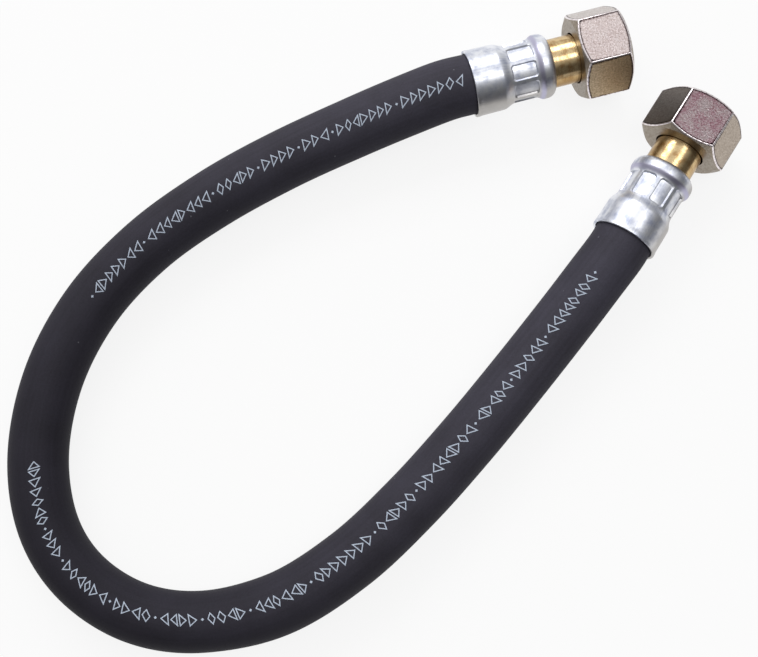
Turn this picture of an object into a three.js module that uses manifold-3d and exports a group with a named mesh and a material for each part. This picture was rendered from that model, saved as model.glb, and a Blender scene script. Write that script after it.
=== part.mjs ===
// Flexible gas hose with a crimped union-nut fitting on each end, lying in an open loop.
// Millimetres, +Z up. The origin is on the surface below the middle of the whole object.

import * as THREE from "three";
import { mergeVertices } from "three/addons/utils/BufferGeometryUtils.js";
import Module from "manifold-3d";

// Gap between two pieces that seat on each other.
const SEAT_GAP = 0.3;

// Degrees from straight up to the right-hand side, where a press jaw is drawn.
const QUARTER_TURN = 90;

// Rubber hose.
const HOSE_OUTER = 22.5;
const HOSE_BORE = 13;
const HOSE_SIDES = 12;
const HOSE_STEPS = 40;
// How far the squeezed end is let into the swept hose, and how much smaller it is there.
const HOSE_JOIN_LENGTH = 3;
const HOSE_JOIN_STEP = 0.05;

// Crimp ferrule, along its axis from the mouth where the hose goes in.
const FERRULE_LENGTH = 31;
const FERRULE_WALL = 0.9;
const BELL_LENGTH = 11;
const MOUTH_LIP = 0.25;
const MOUTH_LIP_LENGTH = 1.2;
const SHOULDER_LENGTH = 4.2;
const CRIMP_LENGTH = 8.7;
const RIDGE_DIAMETER = 21.9;
const POCKETS = 9;
const POCKET_ACROSS = 20.3;
const POCKET_WIDTH = 6;
const POCKET_LENGTH = 9.4;
const POCKET_CORNER = 1;
const JAW_RADIUS = 15;
const JAW_CLEAR = 2;
const BEAD_DIAMETER = 24.2;
const BEAD_CREST_LENGTH = 1.2;
const BEAD_NOSE_LENGTH = 3.2;
const LIP_LENGTH = 2.4;
const LIP_FROM_FRONT = 2.2;

// Turned brass stem.
const NECK_DIAMETER = 18.2;
const NECK_SHOWING = 9.8;
const STEM_BORE = 9;
const BORE_FLARE = 0.8;
const GROOVE_DIAMETER = 15.6;
const TAIL_START = 2.5;
const TAIL_TIP_LENGTH = 1.5;
const TAIL_TIP_WALL = 0.6;
const BARBS = 4;
const BARB_DEPTH = 0.5;
const BARB_STEP_LENGTH = 0.4;
const COLLAR_CLEAR = 0.2;
const COLLAR_LENGTH = 2.5;
const COLLAR_BEVEL = 0.4;

// Union nut for an M24 x 1.5 thread.
const NUT_ACROSS_FLATS = 30;
const NUT_LENGTH = 18.6;
const NUT_BACK_WALL = 3;
const NUT_BACK_HOLE = 19.4;
const NUT_BACK_HOLE_BEVEL = 0.4;
const NUT_BACK_FACE = 29.4;
const NUT_FRONT_FACE = 29;
const CHAMFER_DEGREES = 30;
const CHAMFER_OVERRUN = 1;
const THREAD_ROOT_DIAMETER = 24;
const THREAD_DEPTH = 0.8;
const RELIEF_LENGTH = 3;
const THREAD_RUNOUT = 0.8;
const THREAD_LEAD_IN = 0.9;

// Flat sealing washer.
const GASKET_INSET = 0.1;
const GASKET_BORE = 14.5;
const GASKET_THICKNESS = 2;

// Facets round the turned pieces.
const FERRULE_FACETS = 36;
const HOSE_END_FACETS = 24;
const STEM_FACETS = 24;
const NUT_FACETS = 48;
const GASKET_FACETS = 28;
const CURVE_STEPS = 4;
const JAW_FLOOR_STEPS = 6;
const JAW_CORNER_STEPS = 3;

// Each nut rests on a flat, so the fittings lie at half its width over the surface.
const FITTING_HEIGHT = NUT_ACROSS_FLATS / 2;
const HOSE_HEIGHT = HOSE_OUTER / 2;

// Where each ferrule's mouth is, which way its fitting points, and how far its top ridge is turned.
const FITTING_A = { mouth: [33.3, 88.6], heading: 14.7, crimpTurn: 0 };
const FITTING_B = { mouth: [89.1, 28.5], heading: 57.2, crimpTurn: -8 };

// The hose's middle line between its two straight ends, from fitting a round the loop to fitting b.
const STRAIGHT_LENGTH = 9;
const FITTING_B_LEAD = 5;
const LOOP = [
  [8.7, 80.2, 14.2],
  [-10.3, 72.3, 12.7],
  [-37.3, 59.7, 11.7],
  [-63.3, 44.8, 11.3],
  [-87.3, 26.7, HOSE_HEIGHT],
  [-106.9, 4.2, HOSE_HEIGHT],
  [-119.7, -22.8, HOSE_HEIGHT],
  [-123.7, -52.2, HOSE_HEIGHT],
  [-118.5, -76.6, HOSE_HEIGHT],
  [-106.9, -93.2, HOSE_HEIGHT],
  [-88.3, -105, HOSE_HEIGHT],
  [-66.3, -108.8, HOSE_HEIGHT],
  [-37.3, -103, HOSE_HEIGHT],
  [-11.6, -87.5, HOSE_HEIGHT],
  [10.5, -67.3, HOSE_HEIGHT],
  [30.7, -45.2, 11.3],
  [49.9, -22.2, 11.7],
  [68.3, 0.8, 13],
  [79.1, 14.8, 14.4],
];

const rubber = new THREE.MeshStandardMaterial({ color: 0x26262b, roughness: 0.75, metalness: 0 });
const zinc = new THREE.MeshStandardMaterial({ color: 0xc9ccd4, roughness: 0.32, metalness: 1 });
const brass = new THREE.MeshStandardMaterial({ color: 0xc9a253, roughness: 0.3, metalness: 1 });
const nickel = new THREE.MeshStandardMaterial({ color: 0xb3a99f, roughness: 0.35, metalness: 1 });
const fibre = new THREE.MeshStandardMaterial({ color: 0x2f3b36, roughness: 0.85, metalness: 0 });

const wasm = await Module();
wasm.setup();

// A closed three.js geometry as a solid that can be joined and cut.
function solid(geometry) {
  const bare = geometry.clone();
  bare.deleteAttribute("normal");
  bare.deleteAttribute("uv");
  const merged = mergeVertices(bare, 1e-4);
  return new wasm.Manifold(
    new wasm.Mesh({
      numProp: 3,
      vertProperties: merged.getAttribute("position").array,
      triVerts: new Uint32Array(merged.index.array),
    }),
  );
}

// A solid back as a flat-shaded three.js mesh with the piece's name and material.
function piece(name, made, material) {
  const { vertProperties, triVerts } = made.getMesh();
  const indexed = new THREE.BufferGeometry();
  indexed.setAttribute("position", new THREE.BufferAttribute(vertProperties, 3));
  indexed.setIndex(new THREE.BufferAttribute(triVerts, 1));
  const geometry = indexed.toNonIndexed();
  geometry.computeVertexNormals();
  const mesh = new THREE.Mesh(geometry, material);
  mesh.name = name;
  return mesh;
}

// A closed profile of [radius, place along the axis] points turned about the Y axis.
function turned(profile, facets) {
  const points = profile.map(([radius, along]) => new THREE.Vector2(radius, along));
  points.push(points[0].clone());
  return solid(new THREE.LatheGeometry(points, facets));
}

// An S-shaped stretch of a profile: level at both ends.
function easedStretch([fromRadius, fromAlong], [toRadius, toAlong]) {
  return Array.from({ length: CURVE_STEPS + 1 }, (_, step) => {
    const share = step / CURVE_STEPS;
    const eased = share * share * (3 - 2 * share);
    return [
      THREE.MathUtils.lerp(fromRadius, toRadius, eased),
      THREE.MathUtils.lerp(fromAlong, toAlong, share),
    ];
  });
}

// A quarter of an ellipse in a profile, level at its start and square to the axis at its end.
function nosedStretch([fromRadius, fromAlong], [toRadius, toAlong]) {
  return Array.from({ length: CURVE_STEPS + 1 }, (_, step) => {
    const angle = (step / CURVE_STEPS) * (Math.PI / 2);
    return [
      toRadius + (fromRadius - toRadius) * Math.cos(angle),
      fromAlong + (toAlong - fromAlong) * Math.sin(angle),
    ];
  });
}

// Places along a fitting's axis, from the ferrule's mouth outwards.
const shoulderEnd = BELL_LENGTH + SHOULDER_LENGTH;
const crimpEnd = shoulderEnd + CRIMP_LENGTH;
const crestStart = FERRULE_LENGTH - BEAD_NOSE_LENGTH - BEAD_CREST_LENGTH;
const crestEnd = FERRULE_LENGTH - BEAD_NOSE_LENGTH;
const lipEnd = FERRULE_LENGTH - LIP_FROM_FRONT;
const lipStart = lipEnd - LIP_LENGTH;
const hoseEnd = lipStart - SEAT_GAP;
const nutBack = FERRULE_LENGTH + NECK_SHOWING;
const nutFront = nutBack + NUT_LENGTH;
const collarBack = nutBack + NUT_BACK_WALL + SEAT_GAP;
const collarFront = collarBack + COLLAR_LENGTH;
const gasketBack = collarFront + SEAT_GAP;
const gasketFront = gasketBack + GASKET_THICKNESS;

// Radii that follow from the pieces that meet there.
const bellInside = HOSE_OUTER / 2 + SEAT_GAP;
const bellOutside = bellInside + FERRULE_WALL;
const crimpInside = POCKET_ACROSS / 2 - FERRULE_WALL;
const ridgeOutside = RIDGE_DIAMETER / 2;
const beadOutside = BEAD_DIAMETER / 2;
const neckRadius = NECK_DIAMETER / 2;
const frontHole = neckRadius + SEAT_GAP;
const lipInside = GROOVE_DIAMETER / 2 + SEAT_GAP;
const tailCrest = HOSE_BORE / 2 - SEAT_GAP;
const threadRoot = THREAD_ROOT_DIAMETER / 2;
const threadCrest = threadRoot - THREAD_DEPTH;
const collarOutside = threadCrest - COLLAR_CLEAR;
const gasketOutside = collarOutside - GASKET_INSET;

// The inside of the ferrule, which the squeezed hose end follows at one gap.
function ferruleInside(inset) {
  return [
    [bellInside - inset, BELL_LENGTH],
    ...easedStretch([bellInside - inset, BELL_LENGTH], [crimpInside - inset, shoulderEnd]).slice(1),
  ];
}

// One press jaw: it cuts a pocket with round corners and a slightly crowned floor on the +X side.
function pressJaw() {
  const depth = ridgeOutside - POCKET_ACROSS / 2 + JAW_CLEAR;
  const halfWidth = POCKET_WIDTH / 2;
  const halfLength = POCKET_LENGTH / 2;
  const floor = new THREE.Shape();
  const crown = Math.asin(POCKET_WIDTH / JAW_RADIUS);
  floor.absarc(-JAW_RADIUS, 0, JAW_RADIUS, -crown, crown, false);
  floor.lineTo(depth, JAW_RADIUS * Math.sin(crown));
  floor.lineTo(depth, -JAW_RADIUS * Math.sin(crown));
  const crowned = new THREE.ExtrudeGeometry(floor, {
    depth: POCKET_LENGTH,
    bevelEnabled: false,
    curveSegments: JAW_FLOOR_STEPS,
  });
  crowned.translate(0, 0, -halfLength);
  crowned.rotateX(-Math.PI / 2);
  const outline = new THREE.Shape();
  const straightWidth = halfWidth - POCKET_CORNER;
  const straightLength = halfLength - POCKET_CORNER;
  outline.absarc(straightWidth, straightLength, POCKET_CORNER, 0, Math.PI / 2, false);
  outline.absarc(-straightWidth, straightLength, POCKET_CORNER, Math.PI / 2, Math.PI, false);
  outline.absarc(-straightWidth, -straightLength, POCKET_CORNER, Math.PI, 1.5 * Math.PI, false);
  outline.absarc(straightWidth, -straightLength, POCKET_CORNER, 1.5 * Math.PI, 2 * Math.PI, false);
  const rounded = new THREE.ExtrudeGeometry(outline, {
    depth: JAW_RADIUS,
    bevelEnabled: false,
    curveSegments: JAW_CORNER_STEPS,
  });
  rounded.translate(0, 0, -JAW_RADIUS / 2);
  rounded.rotateY(Math.PI / 2);
  const jaw = solid(crowned).intersect(solid(rounded));
  return jaw.translate([POCKET_ACROSS / 2, (shoulderEnd + crimpEnd) / 2, 0]);
}

// Ferrule: a turned shell with a bell, an S-shaped shoulder and a rolled bead, pressed by nine jaws.
function crimpFerrule() {
  const shell = turned(
    [
      [bellInside, 0],
      [bellOutside + MOUTH_LIP, 0],
      [bellOutside + MOUTH_LIP, MOUTH_LIP_LENGTH],
      [bellOutside, 2 * MOUTH_LIP_LENGTH],
      ...easedStretch([bellOutside, BELL_LENGTH], [ridgeOutside, shoulderEnd]),
      ...easedStretch([ridgeOutside, crimpEnd], [beadOutside, crestStart]),
      ...nosedStretch([beadOutside, crestEnd], [frontHole, FERRULE_LENGTH]),
      [frontHole, lipEnd],
      [lipInside, lipEnd],
      [lipInside, lipStart],
      [crimpInside, lipStart],
      ...ferruleInside(0).reverse(),
    ],
    FERRULE_FACETS,
  );
  const jaw = pressJaw();
  const turn = 360 / POCKETS;
  const firstTurn = turn / 2 - QUARTER_TURN;
  return Array.from({ length: POCKETS }, (_, place) => jaw.rotate([0, firstTurn + place * turn, 0])).reduce(
    (pressed, one) => pressed.subtract(one),
    shell,
  );
}

// The hose end inside the ferrule: plain in the bell, squeezed thin under the crimp.
function squeezedEnd() {
  const joinInside = HOSE_BORE / 2 + HOSE_JOIN_STEP;
  const joinOutside = HOSE_OUTER / 2 - HOSE_JOIN_STEP;
  return turned(
    [
      [joinInside, -HOSE_JOIN_LENGTH],
      [joinOutside, -HOSE_JOIN_LENGTH],
      [joinOutside, 0],
      ...ferruleInside(SEAT_GAP),
      [crimpInside - SEAT_GAP, hoseEnd],
      [joinInside, hoseEnd],
    ],
    HOSE_END_FACETS,
  );
}

// Stem: barbed tail, locking groove, neck and the collar that the nut pulls on.
function hoseStem() {
  const barbsStart = TAIL_START + TAIL_TIP_LENGTH;
  const barbLength = (lipStart - SEAT_GAP - barbsStart) / (BARBS + 1);
  const tailRoot = tailCrest - BARB_DEPTH;
  const barbs = Array.from({ length: BARBS }, (_, place) => {
    const barbEnd = barbsStart + (place + 1) * barbLength;
    return [
      [tailCrest, barbEnd - BARB_STEP_LENGTH],
      [tailRoot, barbEnd],
    ];
  }).flat();
  return turned(
    [
      [STEM_BORE / 2, TAIL_START],
      [STEM_BORE / 2 + TAIL_TIP_WALL, TAIL_START],
      [tailRoot, barbsStart],
      ...barbs,
      [tailRoot, lipStart - SEAT_GAP],
      [GROOVE_DIAMETER / 2, lipStart - SEAT_GAP],
      [GROOVE_DIAMETER / 2, lipEnd + SEAT_GAP],
      [neckRadius, lipEnd + SEAT_GAP],
      [neckRadius, collarBack],
      [collarOutside - COLLAR_BEVEL, collarBack],
      [collarOutside, collarBack + COLLAR_BEVEL],
      [collarOutside, collarFront - COLLAR_BEVEL],
      [collarOutside - COLLAR_BEVEL, collarFront],
      [STEM_BORE / 2 + BORE_FLARE, collarFront],
      [STEM_BORE / 2, collarFront - BORE_FLARE],
    ],
    STEM_FACETS,
  );
}

// Nut: a hexagon bar with both ends chamfered, a back wall round the neck and a threaded socket.
function unionNut() {
  const corner = NUT_ACROSS_FLATS / 2 / Math.cos(Math.PI / 6);
  const outline = new THREE.Shape();
  for (let side = 0; side < 6; side += 1) {
    const angle = (side * Math.PI) / 3;
    outline[side === 0 ? "moveTo" : "lineTo"](corner * Math.cos(angle), corner * Math.sin(angle));
  }
  const bar = new THREE.ExtrudeGeometry(outline, { depth: NUT_LENGTH, bevelEnabled: false });
  bar.rotateX(Math.PI / 2);
  bar.translate(0, nutFront, 0);
  const slope = Math.tan(THREE.MathUtils.degToRad(CHAMFER_DEGREES));
  const reach = corner + CHAMFER_OVERRUN;
  const backFace = NUT_BACK_FACE / 2;
  const frontFace = NUT_FRONT_FACE / 2;
  const threadStart = nutBack + NUT_BACK_WALL + RELIEF_LENGTH;
  const faced = turned(
    [
      [NUT_BACK_HOLE / 2 + NUT_BACK_HOLE_BEVEL, nutBack],
      [backFace, nutBack],
      [reach, nutBack + (reach - backFace) * slope],
      [reach, nutFront - (reach - frontFace) * slope],
      [frontFace, nutFront],
      [threadRoot, nutFront],
      [threadCrest, nutFront - THREAD_LEAD_IN],
      [threadCrest, threadStart + THREAD_RUNOUT],
      [threadRoot, threadStart],
      [threadRoot, nutBack + NUT_BACK_WALL],
      [NUT_BACK_HOLE / 2, nutBack + NUT_BACK_WALL],
      [NUT_BACK_HOLE / 2, nutBack + NUT_BACK_HOLE_BEVEL],
    ],
    NUT_FACETS,
  );
  return solid(bar).intersect(faced);
}

// Gasket: a plain flat ring.
function flatGasket() {
  return turned(
    [
      [GASKET_BORE / 2, gasketBack],
      [gasketOutside, gasketBack],
      [gasketOutside, gasketFront],
      [GASKET_BORE / 2, gasketFront],
    ],
    GASKET_FACETS,
  );
}

// The frame of one fitting: its origin at the ferrule's mouth, +Y out along the fitting.
function fittingFrame({ mouth, heading }) {
  const frame = new THREE.Group();
  frame.position.set(mouth[0], mouth[1], FITTING_HEIGHT);
  frame.rotation.z = THREE.MathUtils.degToRad(heading) - Math.PI / 2;
  frame.updateMatrixWorld();
  return frame;
}

// The hose's middle line: straight out of each ferrule, down to the surface and round the loop.
function hoseLine(frameA, frameB) {
  const along = (frame, distance) => frame.localToWorld(new THREE.Vector3(0, -distance, 0));
  return new THREE.CatmullRomCurve3([
    along(frameA, SEAT_GAP),
    along(frameA, STRAIGHT_LENGTH),
    ...LOOP.map((point) => new THREE.Vector3(...point)),
    along(frameB, FITTING_B_LEAD),
    along(frameB, SEAT_GAP),
  ]);
}

// A many-sided section; its flats lie at the given distance from the middle.
function sectionRing(Kind, sides, flatDistance) {
  const ring = new Kind();
  const radius = flatDistance / Math.cos(Math.PI / sides);
  for (let side = 0; side <= sides; side += 1) {
    const angle = ((side + 0.5) * 2 * Math.PI) / sides;
    ring[side === 0 ? "moveTo" : "lineTo"](radius * Math.cos(angle), radius * Math.sin(angle));
  }
  return ring;
}

// Hose: one tube swept along its line, with a squeezed end joined on at each ferrule.
function rubberHose(frameA, frameB) {
  const section = sectionRing(THREE.Shape, HOSE_SIDES, HOSE_OUTER / 2);
  section.holes.push(sectionRing(THREE.Path, HOSE_SIDES, (HOSE_BORE / 2) * Math.cos(Math.PI / HOSE_SIDES)));
  const tube = new THREE.ExtrudeGeometry(section, {
    steps: HOSE_STEPS,
    extrudePath: hoseLine(frameA, frameB),
  });
  const end = squeezedEnd();
  const placed = (frame) => end.transform(frame.matrixWorld.toArray());
  return solid(tube).add(placed(frameA)).add(placed(frameB));
}

// Ferrule, stem, gasket and nut of one fitting, in its own frame.
function fitting(letter, frame, { crimpTurn }) {
  frame.add(
    piece(`crimp_ferrule_${letter}`, crimpFerrule().rotate([0, crimpTurn, 0]), zinc),
    piece(`stem_${letter}`, hoseStem(), brass),
    piece(`gasket_${letter}`, flatGasket(), fibre),
    piece(`union_nut_${letter}`, unionNut(), nickel),
  );
  return frame;
}

const gasHose = new THREE.Group();
const frameA = fittingFrame(FITTING_A);
const frameB = fittingFrame(FITTING_B);
gasHose.add(
  piece("rubber_hose", rubberHose(frameA, frameB), rubber),
  fitting("a", frameA, FITTING_A),
  fitting("b", frameB, FITTING_B),
);

export default gasHose;
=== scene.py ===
"""Flexible gas hose with a crimped union-nut fitting on each end, dressed for its photograph.

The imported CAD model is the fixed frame. Every shown piece is modelled here round the same places: turned,
pressed and milled pieces in millimetres in their fitting's own axes, the hose along its route.
"""

import logging
import math
import random
from collections.abc import Iterator, Sequence
from contextlib import contextmanager
from dataclasses import dataclass, field
from enum import Enum
from typing import ClassVar

import bpy
from mathutils import Matrix, Vector

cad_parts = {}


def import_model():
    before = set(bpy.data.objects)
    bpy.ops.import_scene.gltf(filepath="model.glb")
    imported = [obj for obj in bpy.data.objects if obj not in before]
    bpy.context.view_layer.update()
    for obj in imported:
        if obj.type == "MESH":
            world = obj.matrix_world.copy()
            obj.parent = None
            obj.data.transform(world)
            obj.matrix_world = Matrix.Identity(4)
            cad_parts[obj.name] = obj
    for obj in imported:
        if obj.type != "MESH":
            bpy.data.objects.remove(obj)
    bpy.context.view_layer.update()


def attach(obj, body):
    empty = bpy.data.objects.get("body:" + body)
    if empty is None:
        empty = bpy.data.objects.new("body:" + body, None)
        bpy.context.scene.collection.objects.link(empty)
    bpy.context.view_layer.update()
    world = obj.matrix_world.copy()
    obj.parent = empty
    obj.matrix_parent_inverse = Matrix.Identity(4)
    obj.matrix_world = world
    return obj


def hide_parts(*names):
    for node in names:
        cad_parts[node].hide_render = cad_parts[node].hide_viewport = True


LOG = logging.getLogger("gas_hose")
MM = 0.001
WELD = 1e-5
HOSE_BODY = "hose"

Colour = tuple[float, float, float, float]


def srgb(red: int, green: int, blue: int) -> Colour:
    """Turns a colour as a screen shows it into the linear values that Blender takes.

    Args:
        red: Red, from 0 to 255.
        green: Green, from 0 to 255.
        blue: Blue, from 0 to 255.

    Returns:
        The linear colour, with an alpha of one.
    """

    def linear(value: int) -> float:
        """One channel, by the screen's own curve."""
        share = value / 255
        return share / 12.92 if share <= 0.04045 else ((share + 0.055) / 1.055) ** 2.4

    return linear(red), linear(green), linear(blue), 1.0


def eased(share: float) -> float:
    """Bends a share from zero to one so that it starts and ends level."""
    return share * share * (3 - 2 * share)


def within(value: float) -> float:
    """Keeps a value from zero to one."""
    return min(max(value, 0), 1)


# Modelling steps, as at a bench.


def only(piece: bpy.types.Object) -> None:
    """Leaves one object selected and active, in object mode.

    Args:
        piece: The object to work on.
    """
    if bpy.context.mode != "OBJECT":
        bpy.ops.object.mode_set(mode="OBJECT")
    bpy.ops.object.select_all(action="DESELECT")
    piece.select_set(True)
    bpy.context.view_layer.objects.active = piece


class Pick(Enum):
    """What edit mode selects, in the order of Blender's own switches."""

    POINTS = "points"
    EDGES = "edges"
    FACES = "faces"


@contextmanager
def editing(piece: bpy.types.Object, pick: Pick = Pick.POINTS) -> Iterator[None]:
    """Opens a piece for edit-mode operators and closes it again.

    Args:
        piece: The object to edit.
        pick: What its operators select.

    Yields:
        Nothing; the operators act on the piece.
    """
    only(piece)
    bpy.context.tool_settings.mesh_select_mode = tuple(kind is pick for kind in Pick)
    bpy.ops.object.mode_set(mode="EDIT")
    yield
    bpy.ops.object.mode_set(mode="OBJECT")


def clear_selection(mesh: bpy.types.Mesh) -> None:
    """Leaves no point, edge or face of a mesh selected, in object mode."""
    for parts in (mesh.vertices, mesh.edges, mesh.polygons):
        parts.foreach_set("select", [False] * len(parts))


def tidy_shell() -> None:
    """Merges doubles and turns all faces outwards, in edit mode."""
    bpy.ops.mesh.select_all(action="SELECT")
    bpy.ops.mesh.remove_doubles(threshold=WELD)
    bpy.ops.mesh.normals_make_consistent(inside=False)


def apply_modifier(piece: bpy.types.Object, kind: str, **settings: object) -> None:
    """Adds a modifier with its settings and applies it.

    Args:
        piece: The object that gets it.
        kind: Blender's name of the modifier's type.
        **settings: The modifier's own settings.
    """
    only(piece)
    modifier = piece.modifiers.new(kind.title(), kind)
    for name, value in settings.items():
        setattr(modifier, name, value)
    bpy.ops.object.modifier_apply(modifier=modifier.name)


def smooth(piece: bpy.types.Object, degrees: float) -> None:
    """Shades a piece smooth, apart from edges sharper than this angle."""
    only(piece)
    bpy.ops.object.shade_smooth_by_angle(angle=math.radians(degrees))


def drawn_outline(name: str, points: Sequence[Vector]) -> bpy.types.Object:
    """Draws a closed outline point by point.

    Args:
        name: The new piece's name.
        points: The outline's points in order.

    Returns:
        The piece, which is the bare outline.
    """
    bpy.ops.object.select_all(action="DESELECT")
    bpy.ops.mesh.primitive_plane_add(size=1)
    piece = bpy.context.object
    piece.name = name
    with editing(piece):
        bpy.ops.mesh.select_all(action="SELECT")
        bpy.ops.mesh.merge(type="CENTER")
        bpy.ops.transform.translate(value=points[0])
        for start, end in zip(points, [*points[1:], points[0]]):
            bpy.ops.mesh.extrude_region_move(TRANSFORM_OT_translate={"value": end - start})
        bpy.ops.mesh.select_all(action="SELECT")
        bpy.ops.mesh.remove_doubles(threshold=WELD)
    return piece


def laid_out(name: str, points: Sequence[Vector], faces: Sequence[Sequence[int]]) -> bpy.types.Object:
    """Makes a piece from points in metres and faces, as a route or a print lays them out.

    Args:
        name: The new piece's name.
        points: Its points.
        faces: For each face, the numbers of its points.

    Returns:
        The piece.
    """
    mesh = bpy.data.meshes.new(name)
    mesh.from_pydata(points, [], faces)
    piece = bpy.data.objects.new(name, mesh)
    bpy.context.scene.collection.objects.link(piece)
    return piece


def close_up(piece: bpy.types.Object, degrees: float) -> None:
    """Turns a laid-out piece's faces outwards and shades it smooth.

    Args:
        piece: The piece.
        degrees: Edges over this angle stay crisp.
    """
    with editing(piece):
        bpy.ops.mesh.select_all(action="SELECT")
        bpy.ops.mesh.normals_make_consistent(inside=False)
    smooth(piece, degrees)


@dataclass
class HalfSection:
    """Half section of a turned piece: points as (radius, place along the axis), in millimetres."""

    arc_steps: int = 4
    stops: list[tuple[float, float, float]] = field(default_factory=list)

    def to(self, radius: float, along: float, round_by: float = 0.0) -> "HalfSection":
        """Goes straight to a point.

        Args:
            radius: Distance from the axis.
            along: Place along the axis.
            round_by: How far from the corner its rounding starts, or zero for a crisp corner.

        Returns:
            The same half section.
        """
        self.stops.append((radius, along, round_by))
        return self

    def ease(self, radius: float, along: float, steps: int) -> "HalfSection":
        """Goes to a point in an S that is level at both ends.

        Args:
            radius: Distance from the axis at its end.
            along: Place along the axis at its end.
            steps: Number of straight parts.

        Returns:
            The same half section.
        """
        start_radius, start_along = self.stops[-1][:2]
        for step in range(1, steps + 1):
            share = step / steps
            self.to(
                start_radius + (radius - start_radius) * eased(share),
                start_along + (along - start_along) * share,
            )
        return self

    def nose(self, radius: float, along: float, steps: int) -> "HalfSection":
        """Goes to a point on a quarter ellipse that starts level and ends square to the axis.

        Args:
            radius: Distance from the axis at its end.
            along: Place along the axis at its end.
            steps: Number of straight parts.

        Returns:
            The same half section.
        """
        start_radius, start_along = self.stops[-1][:2]
        for step in range(1, steps + 1):
            angle = step / steps * math.pi / 2
            self.to(
                radius + (start_radius - radius) * math.cos(angle),
                start_along + (along - start_along) * math.sin(angle),
            )
        return self

    def level(self, along: float, steps: int) -> "HalfSection":
        """Goes along at one radius in several equal parts, for a stretch that is shaped later.

        Args:
            along: Place along the axis at its end.
            steps: Number of straight parts.

        Returns:
            The same half section.
        """
        radius, start_along = self.stops[-1][:2]
        for step in range(1, steps + 1):
            self.to(radius, start_along + (along - start_along) * step / steps)
        return self

    def outline(self) -> list[Vector]:
        """Works out the closed outline, with its round corners, as points in the XZ plane."""
        points: list[Vector] = []
        count = len(self.stops)
        for place, (radius, along, round_by) in enumerate(self.stops):
            here = Vector((radius, 0, along))
            if not round_by:
                points.append(here)
                continue
            sides = []
            for beside in (place - 1, (place + 1) % count):
                there = Vector((self.stops[beside][0], 0, self.stops[beside][1]))
                sides.append(here + (there - here).normalized() * round_by)
            start, end = sides
            for step in range(self.arc_steps + 1):
                share = step / self.arc_steps
                points.append(start.lerp(here, share).lerp(here.lerp(end, share), share))
        return points

    def turned(self, name: str, facets: int) -> bpy.types.Object:
        """Draws the outline point by point and spins it about Z.

        Args:
            name: The new piece's name.
            facets: Number of facets round it.

        Returns:
            The closed piece, in millimetres in its fitting's axes.
        """
        piece = drawn_outline(name, self.outline())
        with editing(piece):
            bpy.ops.mesh.select_all(action="SELECT")
            bpy.ops.mesh.spin(steps=facets, angle=math.tau, center=(0, 0, 0), axis=(0, 0, 1))
            tidy_shell()
        return piece


# Where the fittings lie.


@dataclass(frozen=True)
class FittingPlace:
    """Where one fitting lies: the middle of its ferrule's mouth and the way it points."""

    letter: str
    mouth: tuple[float, float]
    heading: float
    height: float = 15

    @property
    def outward(self) -> Vector:
        """The fitting's axis, pointing out of the hose."""
        angle = math.radians(self.heading)
        return Vector((math.cos(angle), math.sin(angle), 0))

    @property
    def right(self) -> Vector:
        """The level direction to the right of the axis, seen from above and looking outwards."""
        return self.outward.cross(Vector((0, 0, 1)))

    def at(self, distance: float) -> Vector:
        """A point on the axis, that many millimetres out from the mouth."""
        return Vector((*self.mouth, self.height)) + self.outward * distance

    def matrix(self) -> Matrix:
        """Takes millimetres in the fitting's axes, with X up and Z outwards, to metres in the frame."""
        up = Vector((0, 0, 1))
        axes = Matrix((up, self.right, self.outward)).transposed().to_4x4()
        return Matrix.Translation(self.at(0) * MM) @ axes @ Matrix.Scale(MM, 4)


FITTING_A = FittingPlace("a", (33.3, 88.6), 14.7)
FITTING_B = FittingPlace("b", (89.1, 28.5), 57.2)

# How far ferrule b was turned, in degrees, when its jaws closed.
CRIMP_TURN_B = -8


# Shader maths as expressions.


class Wire:
    """A shader socket that takes part in Python arithmetic; each operation adds its Math node."""

    def __init__(self, sheet: "NodeSheet", socket: bpy.types.NodeSocket) -> None:
        """Wraps an output socket of one material's nodes."""
        self.sheet = sheet
        self.socket = socket

    def _math(self, operation: str, *values: "Wire | float", clamp: bool = False) -> "Wire":
        """Adds one Math node that works on these values in order."""
        settings = {"operation": operation, "use_clamp": clamp}
        return self.sheet.node("ShaderNodeMath", settings, dict(enumerate(values)))

    def __add__(self, other: "Wire | float") -> "Wire":
        """This plus another value."""
        return self._math("ADD", self, other)

    def __radd__(self, other: float) -> "Wire":
        """A number plus this."""
        return self._math("ADD", other, self)

    def __sub__(self, other: "Wire | float") -> "Wire":
        """This less another value."""
        return self._math("SUBTRACT", self, other)

    def __rsub__(self, other: float) -> "Wire":
        """A number less this."""
        return self._math("SUBTRACT", other, self)

    def __mul__(self, other: "Wire | float") -> "Wire":
        """This times another value."""
        return self._math("MULTIPLY", self, other)

    def __rmul__(self, other: float) -> "Wire":
        """A number times this."""
        return self._math("MULTIPLY", other, self)

    def __lt__(self, other: float) -> "Wire":
        """One where this is less, and zero elsewhere."""
        return self._math("LESS_THAN", self, other)

    def ramp(self, low: float, high: float) -> "Wire":
        """Rises from zero at low to one at high, and stays within them."""
        return self._math("MULTIPLY", self - low, 1 / (high - low), clamp=True)


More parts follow.
